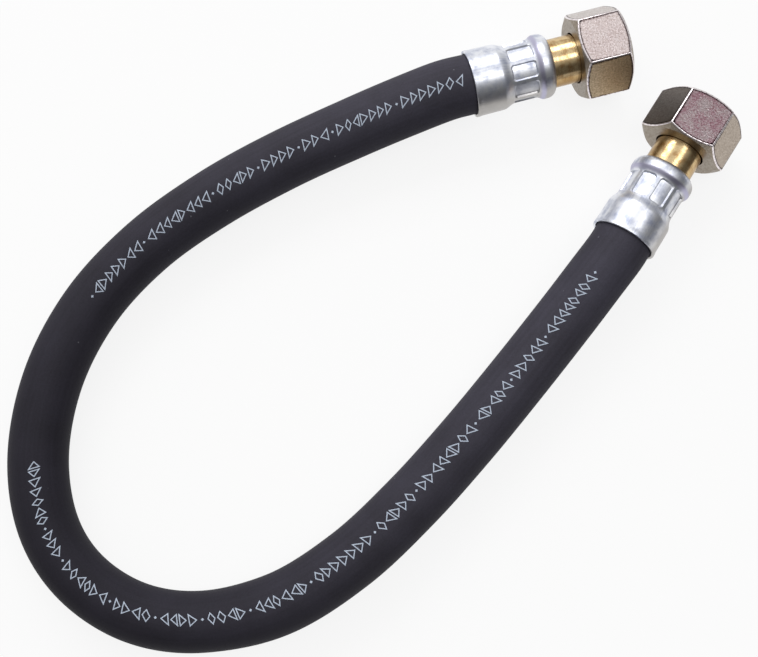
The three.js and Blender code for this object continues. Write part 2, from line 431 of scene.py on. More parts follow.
class NodeSheet:
    """One node tree, built up by expressions."""

    def __init__(self, tree: bpy.types.NodeTree) -> None:
        """Starts with an empty tree."""
        self.tree = tree
        self.tree.nodes.clear()

    def add(
        self,
        kind: str,
        settings: dict[str, object] | None = None,
        inputs: dict[str | int, object] | None = None,
    ) -> bpy.types.Node:
        """Adds a node, sets it up and feeds its sockets.

        Args:
            kind: Blender's name of the node's type.
            settings: The node's own settings, set before its sockets are fed.
            inputs: A value or a Wire for each socket, by name or number.

        Returns:
            The node.
        """
        made = self.tree.nodes.new(kind)
        for name, value in (settings or {}).items():
            setattr(made, name, value)
        for key, value in (inputs or {}).items():
            self.feed(made.inputs[key], value)
        return made

    def node(
        self,
        kind: str,
        settings: dict[str, object] | None = None,
        inputs: dict[str | int, object] | None = None,
        output: str | int = 0,
    ) -> Wire:
        """Adds a node as above and gives back one of its outputs."""
        return Wire(self, self.add(kind, settings, inputs).outputs[output])

    def feed(self, socket: bpy.types.NodeSocket, value: object) -> None:
        """Links a Wire to a socket, or sets the socket's own value."""
        if isinstance(value, Wire):
            self.tree.links.new(value.socket, socket)
        else:
            socket.default_value = value

    def blend(self, share: Wire, first: object, second: object, kind: str = "MIX") -> Wire:
        """Mixes two colours, or multiplies the first by the second, by a share from zero to one."""
        settings = {"data_type": "RGBA", "blend_type": kind}
        return self.node("ShaderNodeMix", settings, {0: share, 6: first, 7: second}, 2)

    def rays_seen(self) -> list[Wire]:
        """One each for rays from the camera, from shiny surfaces and through clear ones."""
        kinds = ("Is Camera Ray", "Is Glossy Ray", "Is Transmission Ray")
        return [self.node("ShaderNodeLightPath", output=kind) for kind in kinds]


class MaterialSheet(NodeSheet):
    """One material and its nodes, which end in a Principled shader."""

    def __init__(self, name: str) -> None:
        """Starts a material with its shader and output."""
        self.material = bpy.data.materials.new(name)
        self.material.use_nodes = True
        super().__init__(self.material.node_tree)
        self.shader = self.add("ShaderNodeBsdfPrincipled")
        self.add("ShaderNodeOutputMaterial", inputs={"Surface": Wire(self, self.shader.outputs[0])})

    def place(self) -> Wire:
        """The point on the piece, in metres in the object's frame."""
        return self.node("ShaderNodeTexCoord", output="Object")

    def along(self, axis: Vector) -> Wire:
        """Distance along a direction through the piece, in metres."""
        inputs = {0: self.place(), 1: tuple(axis)}
        return self.node("ShaderNodeVectorMath", {"operation": "DOT_PRODUCT"}, inputs, "Value")

    def underside(self, low: float, high: float) -> Wire:
        """One below a height and zero above another, in millimetres over the surface."""
        return 1 - self.along(Vector((0, 0, 1))).ramp(low * MM, high * MM)

    def out(self, place: FittingPlace) -> Wire:
        """Millimetres outwards from a fitting's mouth."""
        return (self.along(place.outward) - place.at(0).dot(place.outward) * MM) * (1 / MM)

    def beside(self, place: FittingPlace) -> Wire:
        """Millimetres to the right of a fitting's axis."""
        return (self.along(place.right) - place.at(0).dot(place.right) * MM) * (1 / MM)

    def noise(self, per_metre: float, detail: float = 2.0, where: Wire | None = None) -> Wire:
        """Soft noise from zero to one, at the object's own place or another; detail counts finer layers."""
        inputs = {"Vector": where or self.place(), "Scale": per_metre, "Detail": detail}
        return self.node("ShaderNodeTexNoise", inputs=inputs)

    def lines(self, value: Wire, per_metre: float, detail: float = 3.0) -> Wire:
        """Noise that changes only with one value, for turning lines."""
        inputs = {"W": value * per_metre, "Scale": 1.0, "Detail": detail}
        return self.node("ShaderNodeTexNoise", {"noise_dimensions": "1D"}, inputs)

    def cells(self, per_metre: float, output: str) -> Wire:
        """Voronoi cells, as the distance to the nearest point or its random colour."""
        inputs = {"Vector": self.place(), "Scale": per_metre}
        return self.node("ShaderNodeTexVoronoi", inputs=inputs, output=output)

    def stored(self, name: str, output: str) -> Wire:
        """A value that the mesh itself carries."""
        return self.node("ShaderNodeAttribute", {"attribute_name": name}, output=output)

    def bump(self, height: Wire, depth: float, strength: float = 1.0) -> Wire:
        """Turns a height from zero to one, where one is this many metres deep, into a direction."""
        inputs = {"Height": height, "Distance": depth, "Strength": strength}
        return self.node("ShaderNodeBump", inputs=inputs, output="Normal")

    def finish(self, **sockets: object) -> bpy.types.Material:
        """Feeds the Principled shader and gives back the material.

        Args:
            **sockets: Values or Wires by socket name, with _ for a space.

        Returns:
            The finished material.
        """
        for name, value in sockets.items():
            self.feed(self.shader.inputs[name.replace("_", " ")], value)
        return self.material


# Finishes.


@dataclass(frozen=True)
class RubberFinish:
    """Matte charcoal rubber with flow marks and dust, and painted light that makes it paler towards its
    fittings.
    """

    colour: Colour = srgb(33, 31, 38)
    worn: Colour = srgb(46, 44, 53)
    painted_light_colour: Colour = srgb(56, 54, 62)
    painted_light_worn: Colour = srgb(76, 74, 86)
    painted_light_way: tuple[float, float, float] = (0.9, 0.43, 0)
    painted_light_reach: tuple[float, float] = (-0.15, 0.03)
    dust: Colour = srgb(120, 120, 128)
    cloud_per_metre: float = 60
    grain_per_metre: float = 1500
    speck_per_metre: float = 230
    speck_size: float = 0.075
    speck_share: float = 0.14
    speck_strength: float = 0.5
    flow_stretch: tuple[float, float, float] = (18, 700, 1)
    tone_reach: tuple[float, float] = (0.32, 0.72)
    roughness: float = 0.55
    skin_depth: float = 0.05
    shine: float = 0.16

    def material(self) -> bpy.types.Material:
        """Builds the material."""
        sheet = MaterialSheet("matte_rubber")
        route = sheet.node("ShaderNodeUVMap", {"uv_map": "route"})
        stretched = sheet.node("ShaderNodeMapping", inputs={"Vector": route, "Scale": self.flow_stretch})
        flow = sheet.noise(1.0, 3.0, stretched)
        cloud = sheet.noise(self.cloud_per_metre, 3.0)
        grain = sheet.noise(self.grain_per_metre, 3.0)
        shades = {0: sheet.cells(self.speck_per_metre, "Color")}
        rare = sheet.node("ShaderNodeSeparateColor", inputs=shades) < self.speck_share
        specks = (sheet.cells(self.speck_per_metre, "Distance") < self.speck_size) * rare
        tone = (cloud * 0.45 + flow * 0.25 + grain * 0.3).ramp(*self.tone_reach)
        # Painted light: the rubber is coloured paler towards its fittings, where the lamps light it more.
        painted_light = sheet.along(Vector(self.painted_light_way)).ramp(*self.painted_light_reach)
        dark = sheet.blend(painted_light, self.colour, self.painted_light_colour)
        pale = sheet.blend(painted_light, self.worn, self.painted_light_worn)
        plain = sheet.blend(tone, dark, pale)
        return sheet.finish(
            Base_Color=sheet.blend(specks * self.speck_strength, plain, self.dust),
            Roughness=self.roughness + 0.15 * cloud + 0.1 * grain,
            Normal=sheet.bump(grain * 0.8 + flow * 0.2, self.skin_depth * MM, 0.8),
            Specular_IOR_Level=self.shine,
        )


@dataclass(frozen=True)
class ZincFinish:
    """Bright plated sheet metal: soft bluish blotches, fine draw lines, painted shade down one side and a
    painted violet reflection on the bead.
    """

    place: FittingPlace
    bright: Colour = srgb(240, 242, 248)
    cloudy: Colour = srgb(176, 182, 202)
    painted_shade: Colour = srgb(186, 183, 180)
    painted_shade_from: tuple[float, float] = (7.5, 11)
    painted_violet_reflection: Colour = srgb(190, 188, 210)
    painted_reflection_from: tuple[float, float] = (24.2, 25.2)
    painted_reflection_until: tuple[float, float] = (26.0, 26.8)
    cloud_per_metre: float = 240
    fine_per_metre: float = 3200
    lines_per_metre: float = 1500
    blotch_reach: tuple[float, float] = (0.42, 0.66)
    roughness: float = 0.33
    skin_depth: float = 0.06

    def material(self) -> bpy.types.Material:
        """Builds the material."""
        sheet = MaterialSheet("zinc_plate")
        cloud = sheet.noise(self.cloud_per_metre, 4.0)
        fine = sheet.noise(self.fine_per_metre, 2.0)
        draw = sheet.lines(sheet.along(self.place.right), self.lines_per_metre)
        blotch = (cloud * 0.75 + fine * 0.1 + draw * 0.15).ramp(*self.blotch_reach)
        out = sheet.out(self.place)
        # Painted reflection: a violet band is coloured onto the bead's flank, between these places along the
        # axis.
        bead = out.ramp(*self.painted_reflection_from) * (1 - out.ramp(*self.painted_reflection_until))
        plate = sheet.blend(blotch, self.bright, self.cloudy)
        # Painted shade: the plate is coloured duller and darker on the right of its axis.
        side_shaded_plate = sheet.blend(sheet.beside(self.place).ramp(*self.painted_shade_from), plate, self.painted_shade)
        return sheet.finish(
            Base_Color=sheet.blend(bead, side_shaded_plate, self.painted_violet_reflection),
            Metallic=1.0,
            Roughness=self.roughness + 0.1 * blotch + 0.05 * fine,
            Normal=sheet.bump(cloud * 0.8 + fine * 0.2, self.skin_depth * MM, 0.5),
        )


@dataclass(frozen=True)
class BrassFinish:
    """Turned brass: fine lines round the piece, a browner tarnish in patches and painted shade that darkens
    its underside.
    """

    place: FittingPlace
    clean: Colour = srgb(226, 200, 154)
    tarnished: Colour = srgb(160, 114, 62)
    painted_shade: Colour = srgb(162, 130, 82)
    painted_shade_below: tuple[float, float] = (16, 22.5)
    patch_per_metre: float = 420
    lines_per_metre: float = 4200
    tarnish_reach: tuple[float, float] = (0.45, 0.7)
    roughness: float = 0.14
    cut_depth: float = 0.02

    def material(self) -> bpy.types.Material:
        """Builds the material."""
        sheet = MaterialSheet("turned_brass")
        cuts = sheet.lines(sheet.along(self.place.outward), self.lines_per_metre)
        patches = sheet.noise(self.patch_per_metre, 3.0)
        tarnish = (patches * 0.7 + cuts * 0.3).ramp(*self.tarnish_reach)
        fresh = sheet.blend(tarnish, self.clean, self.tarnished)
        return sheet.finish(
            # Painted shade: the brass is coloured darker and browner towards the underside.
            Base_Color=sheet.blend(sheet.underside(*self.painted_shade_below), fresh, self.painted_shade),
            Metallic=1.0,
            Roughness=self.roughness + 0.09 * cuts + 0.08 * tarnish,
            Normal=sheet.bump(cuts, self.cut_depth * MM, 0.7),
        )


@dataclass(frozen=True)
class NickelFinish:
    """Satin nickel plate with a sparkling grain: tinted flat by flat with painted reflection and shade, with
    patches of stain and painted reflection on the top flat, and painted shade along each flat's rim.
    """

    name: str
    stain_and_reflection: Colour
    stain_and_reflection_above: tuple[float, float] = (29.3, 29.8)
    painted_rim_shade: Colour = srgb(88, 76, 78)
    speckle: Colour = srgb(196, 186, 178)
    grain_per_metre: float = 1500
    crystals_per_metre: float = 2300
    grain_depth: float = 0.1
    stain_and_reflection_per_metre: float = 260
    speckle_reach: tuple[float, float] = (0.3, 0.7)
    stain_and_reflection_reach: tuple[float, float] = (0.42, 0.62)
    rim_reach: tuple[float, float] = (0.4, 0.9)
    roughness: float = 0.24

    def material(self) -> bpy.types.Material:
        """Builds the material."""
        sheet = MaterialSheet(self.name)
        # The stored tint is the plate's colour, with painted reflection and shade coloured into the top,
        # right and left flats.
        plate_and_reflection_tint, rim = sheet.stored("plate_and_reflection_tint", "Color"), sheet.stored("rim", "Fac")
        grain = sheet.noise(self.grain_per_metre, 1.0)
        crystals = sheet.cells(self.crystals_per_metre, "Distance")
        fine = sheet.noise(self.crystals_per_metre, 1.0)
        speckle = (grain * 0.5 + fine * 0.5).ramp(*self.speckle_reach)
        cloud = sheet.noise(self.stain_and_reflection_per_metre, 4.0)
        patches = (cloud * 0.6 + grain * 0.4 + rim * 0.08).ramp(*self.stain_and_reflection_reach)
        # Stain and painted reflection: patches of the second colour, only on the top flat.
        stain_and_reflection = patches * (1 - sheet.underside(*self.stain_and_reflection_above))
        # Painted shade: each flat is coloured darker along its rim.
        edge = (rim * 0.8 + grain * 0.6).ramp(*self.rim_reach)
        stained_and_reflecting = sheet.blend(stain_and_reflection, plate_and_reflection_tint, self.stain_and_reflection, "MULTIPLY")
        speckled = sheet.blend(speckle, stained_and_reflecting, self.speckle, "MULTIPLY")
        return sheet.finish(
            Base_Color=sheet.blend(edge, speckled, self.painted_rim_shade, "MULTIPLY"),
            Metallic=1.0,
            Roughness=self.roughness + 0.14 * grain + 0.06 * patches,
            Normal=sheet.bump(fine * 0.45 + crystals * 0.55, self.grain_depth * MM, 0.9),
        )


@dataclass(frozen=True)
class EdgeFinish:
    """Nickel on a broken edge, coloured brighter as a painted highlight, with dull nicks."""

    # Painted highlight: the edge is coloured brighter than the flats, standing in for the light that the
    # broken edges catch.
    bright: Colour = srgb(246, 238, 240)
    nick: Colour = srgb(176, 162, 160)
    nicks_per_metre: float = 1300
    nick_reach: tuple[float, float] = (0.5, 0.66)
    roughness: float = 0.2

    def material(self) -> bpy.types.Material:
        """Builds the material."""
        sheet = MaterialSheet("painted_highlight_edge")
        nicks = sheet.noise(self.nicks_per_metre, 2.0).ramp(*self.nick_reach)
        return sheet.finish(
            Base_Color=sheet.blend(nicks, self.bright, self.nick),
            Metallic=1.0,
            Roughness=self.roughness + 0.15 * nicks,
        )


@dataclass(frozen=True)
class InkFinish:
    """Pale printing ink on rubber."""

    colour: Colour = srgb(186, 197, 214)
    roughness: float = 0.6

    def material(self) -> bpy.types.Material:
        """Builds the material."""
        return MaterialSheet("pale_ink").finish(Base_Color=self.colour, Roughness=self.roughness)


@dataclass(frozen=True)
class FibreFinish:
    """Pressed fibre washer: dull, dark green-grey, with short fibres."""

    colour: Colour = srgb(58, 72, 66)
    fibre: Colour = srgb(96, 110, 100)
    stretch: tuple[float, float, float] = (900, 2600, 2600)
    fibre_reach: tuple[float, float] = (0.5, 0.7)
    roughness: float = 0.75
    fibre_depth: float = 0.08

    def material(self) -> bpy.types.Material:
        """Builds the material."""
        sheet = MaterialSheet("pressed_fibre")
        inputs = {"Vector": sheet.place(), "Scale": self.stretch}
        stretched = sheet.node("ShaderNodeMapping", inputs=inputs)
        fibres = sheet.noise(1.0, 4.0, stretched)
        return sheet.finish(
            Base_Color=sheet.blend(fibres.ramp(*self.fibre_reach), self.colour, self.fibre),
            Roughness=self.roughness + 0.15 * fibres,
            Normal=sheet.bump(fibres, self.fibre_depth * MM, 0.7),
        )


# The hose.


LYING_HEIGHT = 11.25
HELD_INSIDE = 26.1

# Points of the hose's two straight ends, in millimetres outwards from each ferrule's mouth.
STRAIGHT_A = (HELD_INSIDE, -0.3, -9)
STRAIGHT_B = (-5, -0.3, HELD_INSIDE)

# The hose's middle line between the straight ends, in millimetres, as in the part's source.
LOOP = (
    (8.7, 80.2, 14.2),
    (-10.3, 72.3, 12.7),
    (-37.3, 59.7, 11.7),
    (-63.3, 44.8, 11.3),
    (-87.3, 26.7, LYING_HEIGHT),
    (-106.9, 4.2, LYING_HEIGHT),
    (-119.7, -22.8, LYING_HEIGHT),
    (-123.7, -52.2, LYING_HEIGHT),
    (-118.5, -76.6, LYING_HEIGHT),
    (-106.9, -93.2, LYING_HEIGHT),
    (-88.3, -105, LYING_HEIGHT),
    (-66.3, -108.8, LYING_HEIGHT),
    (-37.3, -103, LYING_HEIGHT),
    (-11.6, -87.5, LYING_HEIGHT),
    (10.5, -67.3, LYING_HEIGHT),
    (30.7, -45.2, 11.3),
    (49.9, -22.2, 11.7),
    (68.3, 0.8, 13),
    (79.1, 14.8, 14.4),
)


class HoseRoute:
    """The hose's middle line as one smooth curve, measured along its length in millimetres."""

    def __init__(self, points: Sequence[Vector], steps: int = 40) -> None:
        """Runs a centripetal curve through the points and measures it.

        Args:
            points: The points that the middle line passes, in order.
            steps: Number of straight parts between two of them.
        """
        self.line = [points[0]]
        for place in range(len(points) - 1):
            before = points[place - 1] if place else points[0] * 2 - points[1]
            last = place + 2 >= len(points)
            after = points[place + 1] * 2 - points[place] if last else points[place + 2]
            stretch = (before, points[place], points[place + 1], after)
            self.line += [self._between(stretch, step / steps) for step in range(1, steps + 1)]
        self.marks = [0.0]
        for start, end in zip(self.line, self.line[1:]):
            self.marks.append(self.marks[-1] + (end - start).length)
        self.length = self.marks[-1]

    @staticmethod
    def _between(stretch: tuple[Vector, Vector, Vector, Vector], share: float) -> Vector:
        """One point of the curve between the second and third of four points."""
        before, start, end, after = stretch
        gaps = [math.sqrt((b - a).length) for a, b in zip(stretch, stretch[1:])]
        lead = (start - before) / gaps[0] - (end - before) / (gaps[0] + gaps[1]) + (end - start) / gaps[1]
        tail = (end - start) / gaps[1] - (after - start) / (gaps[1] + gaps[2]) + (after - end) / gaps[2]
        lead *= gaps[1]
        tail *= gaps[1]
        square = (end - start) * 3 - lead * 2 - tail
        cube = (start - end) * 2 + lead + tail
        return start + lead * share + square * share**2 + cube * share**3

    def at(self, distance: float) -> tuple[Vector, Vector]:
        """Finds the middle line's point and direction.

        Args:
            distance: Millimetres along the route from its start.

        Returns:
            The point, in millimetres, and the direction there.
        """
        low, high = 0, len(self.marks) - 2
        while low < high:
            middle = (low + high + 1) // 2
            low, high = (middle, high) if self.marks[middle] <= distance else (low, middle - 1)
        start, end = self.line[low], self.line[low + 1]
        share = (distance - self.marks[low]) / (self.marks[low + 1] - self.marks[low])
        return start.lerp(end, share), (end - start).normalized()


@dataclass
class RubberHose:
    """The hose: one tube along its route, a little flattened sideways where it bends."""

    route: HoseRoute
    first_mouth: float
    last_mouth: float
    outer: float = 22.5
    bore: float = 13
    squeezed: float = 17.9
    squeeze_start: float = 11.3
    squeeze_end: float = 15.9
    sides: int = 72
    ring_step: float = 2.0
    crease: float = 40
    widths: tuple[tuple[float, float], ...] = (
        (0, 22.6),
        (14, 22.9),
        (80, 22.4),
        (150, 21.4),
        (235, 21.3),
        (268, 20.9),
        (320, 21.4),
        (345, 22.3),
        (533, 22.3),
    )

    def width(self, shown: float) -> float:
        """The hose's width seen from above, that many millimetres past the first mouth."""
        if shown <= self.widths[0][0]:
            return self.widths[0][1]
        for (start, first), (end, last) in zip(self.widths, self.widths[1:]):
            if shown <= end:
                return first + (last - first) * eased((shown - start) / (end - start))
        return self.widths[-1][1]

    def across(self, distance: float) -> tuple[float, float]:
        """Half the width and half the height of the hose at a place on its route."""
        inside = max(self.first_mouth - distance, distance - self.last_mouth)
        shrink = eased(within((inside - self.squeeze_start) / (self.squeeze_end - self.squeeze_start)))
        wide = self.width(distance - self.first_mouth) if inside < 0 else self.outer
        return (
            (wide + (self.squeezed - wide) * shrink) / 2,
            (self.outer + (self.squeezed - self.outer) * shrink) / 2,
        )

    def axes(self, distance: float) -> tuple[Vector, Vector, Vector]:
        """The middle line's point, and the directions to its side and upwards from it."""
        middle, ahead = self.route.at(distance)
        side = Vector((0, 0, 1)).cross(ahead).normalized()
        return middle, side, ahead.cross(side)

    def skin(self, distance: float, turn: float, lift: float = 0.0) -> Vector:
        """Finds a point of the outer surface.

        Args:
            distance: Millimetres along the route.
            turn: Angle round the hose from its top towards the inside of the loop, in radians.
            lift: How far above the surface, in millimetres.

        Returns:
            The point, in millimetres.
        """
        middle, side, up = self.axes(distance)
        half_width, half_height = self.across(distance)
        sideways = side * (half_width + lift) * math.sin(turn)
        return middle + sideways + up * (half_height + lift) * math.cos(turn)

    def build(self) -> bpy.types.Object:
        """Makes the tube with its bore, closed at both ends, and its route as a UV map."""
        count = round(self.route.length / self.ring_step)
        places = [self.route.length * ring / count for ring in range(count + 1)]
        turns = [math.tau * side / self.sides for side in range(self.sides)]
        points = [self.skin(distance, turn) for distance in places for turn in turns]
        radius = self.bore / 2
        for distance in places:
            middle, side, up = self.axes(distance)
            across, high = side * radius, up * radius
            points += [middle + across * math.sin(turn) + high * math.cos(turn) for turn in turns]

        def corner(wall: int, ring: int, side: int) -> int:
            """Number of a point by wall, ring and side."""
            return (wall * len(places) + ring) * self.sides + side % self.sides

        forth, back = ((0, 0), (0, 1), (1, 1), (1, 0)), ((0, 0), (1, 0), (1, 1), (0, 1))
        around = self.outer * math.pi * MM
        faces: list[list[int]] = []
        spots: list[tuple[float, float]] = []
        for ring in range(count):
            for side in range(self.sides):
                for wall, steps in enumerate((forth, back)):
                    faces.append([corner(wall, ring + far, side + on) for far, on in steps])
                    spots += [
                        (places[ring + far] * MM, (side + on) / self.sides * around) for far, on in steps
                    ]
        for side in range(self.sides):
            for ring, along, steps in ((0, 0, back), (count, self.route.length * MM, forth)):
                faces.append([corner(wall, ring, side + on) for wall, on in steps])
                spots += [(along, 0)] * 4
        piece = laid_out("rubber_tube", [point * MM for point in points], faces)
        layer = piece.data.uv_layers.new(name="route")
        layer.data.foreach_set("uv", [value for spot in spots for value in spot])
        close_up(piece, self.crease)
        return piece

    def path(self) -> list[Vector]:
        """The middle line in metres, close enough to measure."""
        return [point * MM for point in self.route.line[::4]]


class MarkShape(Enum):
    """Plain shapes with straight sides, as corners in a box one wide and one high."""

    LOZENGE = ((0, -0.5), (0.5, 0), (0, 0.5), (-0.5, 0))
    POINTER = ((-0.5, -0.5), (0.5, 0), (-0.5, 0.5))
    RETURN = ((-0.5, 0), (0.5, -0.5), (0.5, 0.5))


@dataclass(frozen=True)
class PrintRun:
    """One stretch of the hose that is printed, in millimetres along the route."""

    start: float
    end: float
    lean: float


@dataclass
class HosePrint:
    """Rows of outlined shapes in groups, printed along the hose; they stand for no sign or letter."""

    hose: RubberHose
    runs: tuple[PrintRun, ...] = (PrintRun(30, 191, 0.22), PrintRun(253, 539, -0.22))
    palette: tuple[MarkShape, ...] = (MarkShape.POINTER, MarkShape.RETURN) * 2 + (MarkShape.LOZENGE,)
    turn_degrees: float = 8.6
    height: float = 4.7
    stroke: float = 0.38
    widths: tuple[float, float] = (2.5, 3.3)
    dot: float = 1.1
    gap: float = 0.55
    group_gap: float = 2.4
    group_sizes: tuple[int, int] = (3, 8)
    thickness: float = 0.06
    root: float = 0.1
    part_length: float = 1.2
    seed: int = 5
    crease: float = 30
    points: list[Vector] = field(default_factory=list)
    faces: list[tuple[int, int, int, int]] = field(default_factory=list)

    @staticmethod
    def inset(corners: list[tuple[float, float]], by: float) -> list[tuple[float, float]]:
        """Moves the sides of a convex shape inwards.

        Args:
            corners: Its corners, counter-clockwise.
            by: How far each side moves, in millimetres.

        Returns:
            The corners of the smaller shape.
        """
        moved = []
        for place, corner in enumerate(corners):
            before, after = Vector(corners[place - 1]), Vector(corners[(place + 1) % len(corners)])
            here = Vector(corner)
            into, out = (here - before).normalized(), (after - here).normalized()
            inward = Vector((-into.y - out.y, into.x + out.x))
            sharpness = 1 + into.dot(out)
            moved.append(tuple(here + inward * by / sharpness))
        return moved

    def parted(self, corners: list[tuple[float, float]], parts: list[int]) -> list[Vector]:
        """Points round a shape, with each side cut into its number of parts."""
        points = []
        for place, count in enumerate(parts):
            start, end = Vector(corners[place]), Vector(corners[(place + 1) % len(corners)])
            points += [start.lerp(end, step / count) for step in range(count)]
        return points

    def mark(self, shape: MarkShape, middle: float, size: tuple[float, float], lean: float) -> None:
        """Adds one outlined shape to the mesh data.

        Args:
            shape: Which shape.
            middle: Place of its middle along the route.
            size: Its width along the hose and its height round it, in millimetres.
            lean: How much it leans along the hose for each millimetre of height.
        """
        outer = [(x * size[0] + y * size[1] * lean, y * size[1]) for x, y in shape.value]
        inner = self.inset(outer, self.stroke)
        sides = [math.dist(start, end) for start, end in zip(outer, outer[1:] + outer[:1])]
        parts = [max(1, math.ceil(side / self.part_length)) for side in sides]
        first = len(self.points)
        centre = math.radians(self.turn_degrees)
        for lift in (self.thickness, -self.root):
            for loop in (self.parted(outer, parts), self.parted(inner, parts)):
                for point in loop:
                    turn = centre + point.y / (self.hose.outer / 2)
                    self.points.append(self.hose.skin(middle + point.x, turn, lift) * MM)
        count = sum(parts)
        for step in range(count):
            ahead = (step + 1) % count
            loops = [(first + loop * count + step, first + loop * count + ahead) for loop in range(4)]
            top_out, top_in, low_out, low_in = loops
            for near, far in ((top_out, top_in), (top_in, low_in), (low_in, low_out), (low_out, top_out)):
                self.faces.append((near[0], near[1], far[1], far[0]))

    def build(self) -> bpy.types.Object:
        """Lays out the groups along each run and makes them one piece of thin closed outlines."""
        draw = random.Random(self.seed)
        for run in self.runs:
            place = run.start
            while place < run.end:
                for _ in range(draw.randint(*self.group_sizes)):
                    width = draw.uniform(*self.widths)
                    if place + width > run.end:
                        break
                    shape = draw.choice(self.palette)
                    self.mark(shape, place + width / 2, (width, self.height), run.lean)
                    place += width + self.gap
                place += self.group_gap / 2
                self.mark(MarkShape.LOZENGE, place, (self.dot, self.dot), 0)
                place += self.group_gap / 2 + self.dot / 2
        piece = laid_out("hose_marks", self.points, self.faces)
        close_up(piece, self.crease)
        return piece


# The fittings.


class TurnedPiece:
    """A piece turned from a half section in its fitting's axes, then shaped further where that is needed."""

    label: ClassVar[str]
    crease: ClassVar[float]
    facets: int

    def section(self) -> HalfSection:
        """The half section that it is turned from."""
        raise NotImplementedError

    def shape(self, piece: bpy.types.Object) -> None:
        """Shapes the turned piece further; a plain one is left as it is."""

    def build(self, letter: str) -> bpy.types.Object:
        """Turns, shapes and shades the piece.

        Args:
            letter: Which fitting it belongs to.

        Returns:
            The piece in its fitting's axes.
        """
        piece = self.section().turned(f"{self.label}_{letter}", self.facets)
        self.shape(piece)
        smooth(piece, self.crease)
        return piece


@dataclass
class CrimpFerrule(TurnedPiece):
    """Pressed metal sleeve: plain bell, S-shaped shoulder, nine jaw-pressed pockets and a rolled bead."""

    label: ClassVar[str] = "ferrule_shell"
    crease: ClassVar[float] = 50
    bell_inside: float = 11.55
    bell_outside: float = 12.45
    mouth_lip: float = 0.14
    mouth_bevels: tuple[float, float] = (0.22, 0.3)
    lip_flat: float = 0.9
    lip_end: float = 2.4
    bell_taper: float = 0.05
    bell_length: float = 10.6
    shoulder_end: float = 15
    crimp_end: float = 23.9
    length: float = 31
    front_wall: float = 2.2
    ridge: float = 10.95
    bead: float = 12.1
    crest_start: float = 26.6
    crest_end: float = 27.9
    front_hole: float = 9.35
    inside: float = 9.25
    jaws: int = 9
    turn: float = 0
    floor: float = 10.15
    jaw_radius: float = 15
    pocket_width: float = 6.1
    pocket_length: float = 9.6
    pocket_corner: float = 1.1
    pocket_middle: float = 19.4
    edge_softness: float = 0.34
    wall_margin: float = 0.3
    lip_steps: int = 6
    shoulder_steps: int = 26
    pocket_steps: int = 54
    bead_steps: int = 16
    nose_steps: int = 12
    inside_steps: int = 8
    facets: int = 450

    def section(self) -> HalfSection:
        """The sleeve before pressing, with close steps where the jaws close."""
        section = HalfSection()
        lip, (inner_bevel, outer_bevel) = self.bell_outside + self.mouth_lip, self.mouth_bevels
        section.to(self.bell_inside, 0.0, inner_bevel).to(lip, 0.0, outer_bevel)
        section.to(lip, self.lip_flat).ease(self.bell_outside, self.lip_end, self.lip_steps)
        section.to(self.bell_outside - self.bell_taper, self.bell_length * 0.6)
        section.to(self.bell_outside - self.bell_taper * 2, self.bell_length)
        section.ease(self.ridge, self.shoulder_end, self.shoulder_steps)
        section.level(self.crimp_end, self.pocket_steps)
        section.ease(self.bead, self.crest_start, self.bead_steps).to(self.bead, self.crest_end)
        section.nose(self.front_hole, self.length, self.nose_steps)
        lip_back = self.length - self.front_wall
        section.to(self.front_hole, lip_back).to(self.inside, lip_back)
        section.to(self.inside, self.shoulder_end)
        return section.ease(self.bell_inside, self.bell_length, self.inside_steps)

    def pressed(self, point: Vector) -> Vector:
        """Where a point of the sleeve ends up once the jaws have closed.

        Args:
            point: A point in the fitting's axes.

        Returns:
            The point, pushed in if it lies under a jaw.
        """
        radius = math.hypot(point.x, point.y)
        below = abs(point.z - self.pocket_middle)
        if radius < self.inside + self.wall_margin or below > self.pocket_length:
            return point
        pitch = math.tau / self.jaws
        angle = math.atan2(point.y, point.x) - math.radians(self.turn)
        off = (angle % pitch) - pitch / 2
        wide = abs(radius * math.sin(off)) - self.pocket_width / 2 + self.pocket_corner
        long = below - self.pocket_length / 2 + self.pocket_corner
        outside = math.hypot(max(wide, 0), max(long, 0)) + min(max(wide, long), 0) - self.pocket_corner
        depth = eased(within(-outside / self.edge_softness))
        centre = self.floor - self.jaw_radius
        floor = centre * math.cos(off) + math.sqrt(self.jaw_radius**2 - (centre * math.sin(off)) ** 2)
        pressed = radius + (min(floor, radius) - radius) * depth
        return Vector((point.x * pressed / radius, point.y * pressed / radius, point.z))

    def shape(self, piece: bpy.types.Object) -> None:
        """Closes the jaws on the sleeve."""
        for vertex in piece.data.vertices:
            vertex.co = self.pressed(vertex.co)


